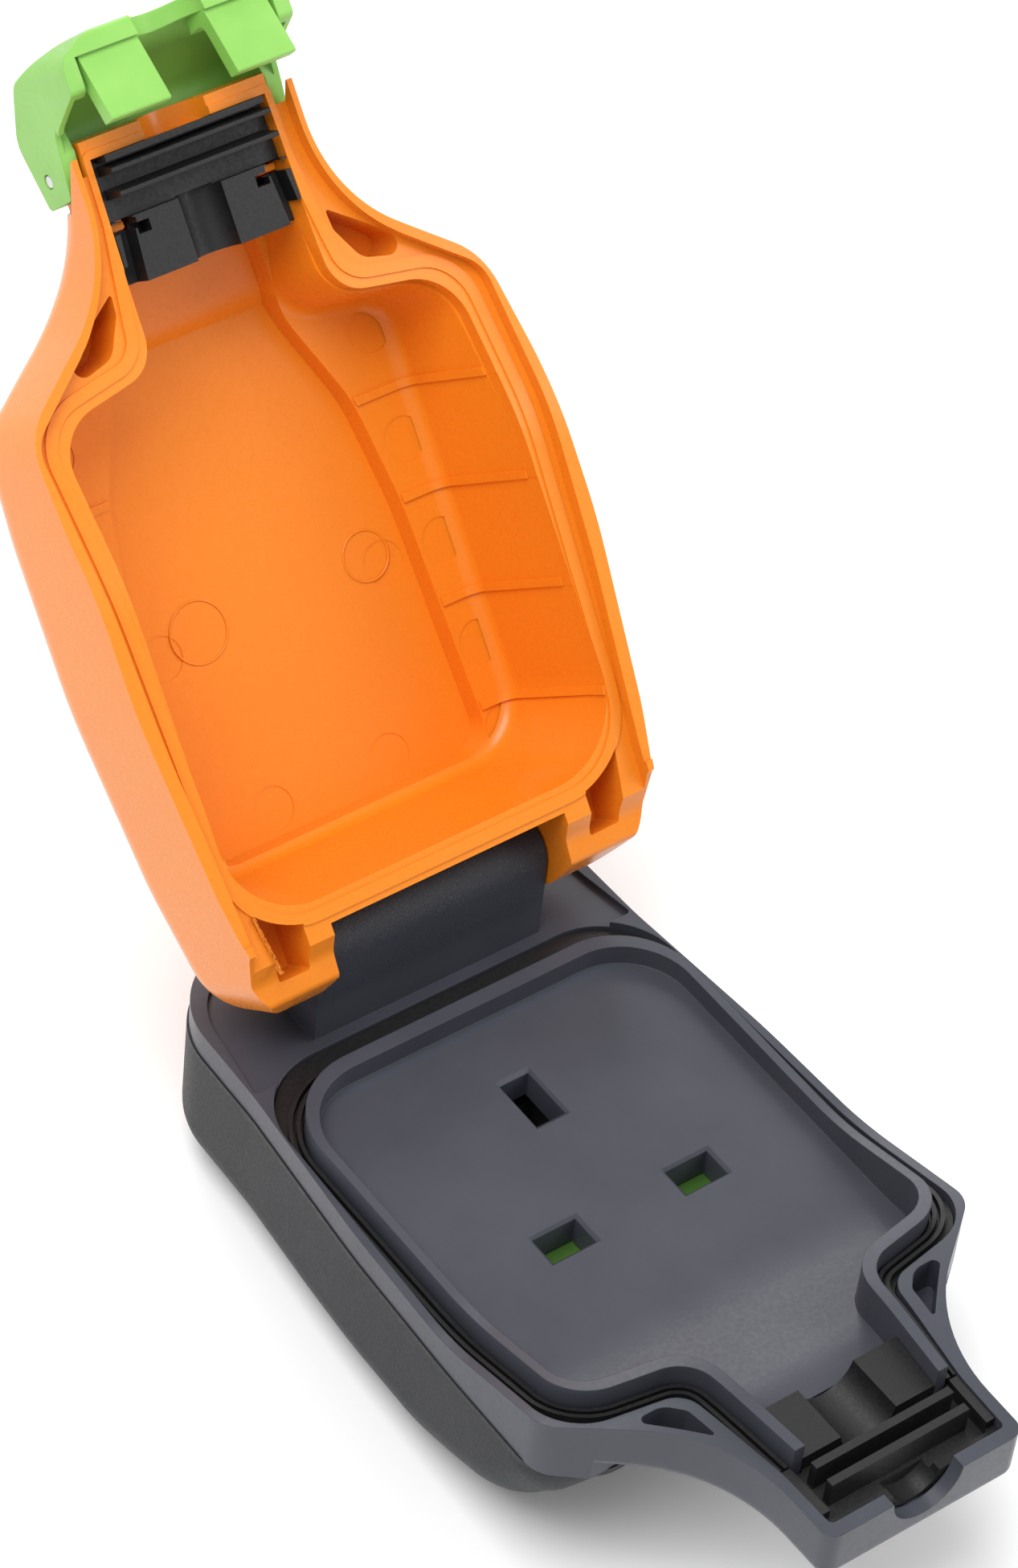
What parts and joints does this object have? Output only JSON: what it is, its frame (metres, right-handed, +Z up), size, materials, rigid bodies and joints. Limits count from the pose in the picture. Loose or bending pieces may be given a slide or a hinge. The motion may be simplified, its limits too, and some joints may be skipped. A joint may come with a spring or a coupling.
{
  "type": "inline socket",
  "caption": "Weatherproof inline extension socket for flat three-pin plugs, with a hinged orange lid, rubber seals and a green latch.",
  "frame": {"origin": "on the socket face, midway between the two line slots", "axes": "+Z up out of the socket face, +Y towards the lid hinge and the earth slot, -Y towards the cord neck, +X to the right seen from the neck"},
  "size_m": [0.0748, 0.1911, 0.1464],
  "materials": {
    "grey_plastic": "satin",
    "cover_plastic": "fine grain",
    "orange_plastic": "semi-gloss",
    "green_plastic": "semi-gloss",
    "seal_rubber": "matte",
    "carrier_plastic": "matte",
    "brass": "bright",
    "steel": "satin"
  },
  "bodies": {
    "base": {"upper_body": "grey_plastic", "lower_cover": "cover_plastic", "body_gasket": "seal_rubber", "face_seal": "seal_rubber", "cover_screws": "steel", "hinge_pin": "steel", "contact_carrier": "carrier_plastic", "carrier_screws": "steel", "live_contact": "brass", "neutral_contact": "brass", "earth_contact": "brass", "terminal_screws": "steel", "cord_clamp_bar": "carrier_plastic", "cord_clamp_screws": "steel", "cord_grommet": "seal_rubber", "shutter_spring": "steel"},
    "shutter": {"shutter": "green_plastic"},
    "lid": {"lid_shell": "orange_plastic", "lid_neck_seal": "seal_rubber", "latch_pin": "steel"},
    "latch": {"latch": "green_plastic"}
  },
  "joints": [
    {"name": "lid_hinge", "type": "hinge", "parent": "base", "child": "lid", "pos_m": [0, 0.0513, 0.0134], "axis": [-1, 0, 0], "range_deg": [-129.1, 0]},
    {"name": "latch_swing", "type": "hinge", "parent": "lid", "child": "latch", "pos_m": [0, 0.12034, 0.09724], "axis": [1, 0, 0], "range_deg": [-50, 24]},
    {"name": "shutter_slide", "type": "slide", "parent": "base", "child": "shutter", "axis": [0, -1, 0], "range_m": [0, 0.0065], "stiffness_N_per_m": 120, "springref_m": -0.004, "deforming": ["shutter_spring"]}
  ]
}
